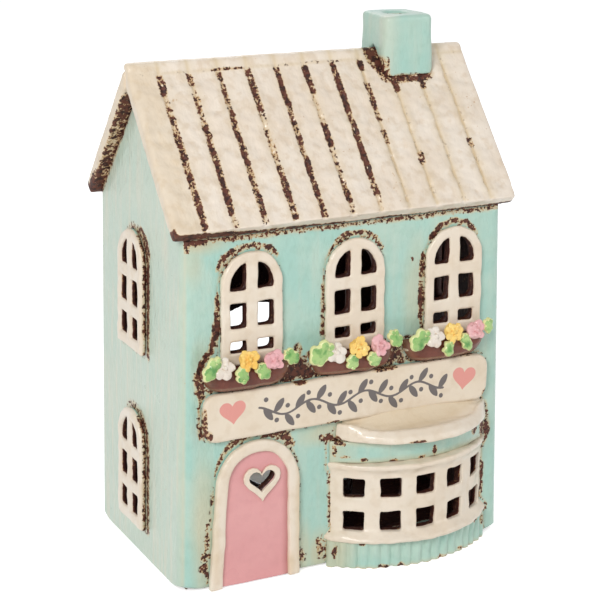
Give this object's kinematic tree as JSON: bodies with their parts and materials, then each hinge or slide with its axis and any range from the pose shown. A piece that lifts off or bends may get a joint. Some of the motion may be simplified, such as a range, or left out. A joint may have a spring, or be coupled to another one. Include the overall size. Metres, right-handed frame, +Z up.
{
  "type": "shop tealight holder",
  "caption": "Glazed pottery tealight holder shaped like a two-storey shop with a pitched roof, chimney flue, pierced arched windows, bow window, flower boxes and an open back.",
  "frame": {"origin": "middle of the walls' footprint, on the surface the holder stands on", "axes": "+X to the right of the shop front, +Y from the shop front to the open back, +Z up"},
  "size_m": [0.1214, 0.0926, 0.1738],
  "materials": {
    "mint_glaze": "gloss",
    "cream_glaze": "gloss",
    "pink_glaze": "gloss",
    "brown_glaze": "gloss",
    "white_glaze": "gloss",
    "yellow_glaze": "gloss",
    "green_glaze": "gloss",
    "aluminium": "bright foil",
    "tinned_steel": "dull",
    "wax": "satin",
    "cotton": "matte"
  },
  "bodies": {
    "house": {"front_wall": "mint_glaze", "back_wall": "mint_glaze", "left_gable_wall": "mint_glaze", "right_gable_wall": "mint_glaze", "floor_slab": "mint_glaze", "roof_front_slab": "cream_glaze", "roof_back_slab": "cream_glaze", "ridge_strip_left": "cream_glaze", "ridge_strip_right": "cream_glaze", "chimney": "mint_glaze", "door_surround": "cream_glaze", "door_panel": "pink_glaze", "door_heart_rim": "cream_glaze", "sign_board": "cream_glaze", "bow_plinth": "mint_glaze", "bow_lattice": "cream_glaze", "bow_band": "mint_glaze", "bow_canopy": "cream_glaze", "left_upper_window": "cream_glaze", "left_lower_window": "cream_glaze", "right_upper_window": "cream_glaze", "right_lower_window": "cream_glaze", "front_left_window": "cream_glaze", "left_box": "brown_glaze", "left_white_bloom": "white_glaze", "left_yellow_bloom": "yellow_glaze", "left_pink_bloom": "pink_glaze", "left_left_leaf": "green_glaze", "left_low_left_leaf": "green_glaze", "left_low_right_leaf": "green_glaze", "left_right_leaf": "green_glaze", "front_middle_window": "cream_glaze", "middle_box": "brown_glaze", "middle_white_bloom": "white_glaze", "middle_yellow_bloom": "yellow_glaze", "middle_pink_bloom": "pink_glaze", "middle_left_leaf": "green_glaze", "middle_low_left_leaf": "green_glaze", "middle_low_right_leaf": "green_glaze", "middle_right_leaf": "green_glaze", "front_right_window": "cream_glaze", "right_box": "brown_glaze", "right_white_bloom": "white_glaze", "right_yellow_bloom": "yellow_glaze", "right_pink_bloom": "pink_glaze", "right_left_leaf": "green_glaze", "right_low_left_leaf": "green_glaze", "right_low_right_leaf": "green_glaze", "right_right_leaf": "green_glaze"},
    "tealight": {"tealight_cup": "aluminium", "wick_sustainer": "tinned_steel", "tealight_wax": "wax", "tealight_wick": "cotton"}
  },
  "joints": [
    {"name": "tealight_slide", "type": "slide", "parent": "house", "child": "tealight", "axis": [0, 1, 0], "range_m": [-0.012, 0.034]}
  ]
}
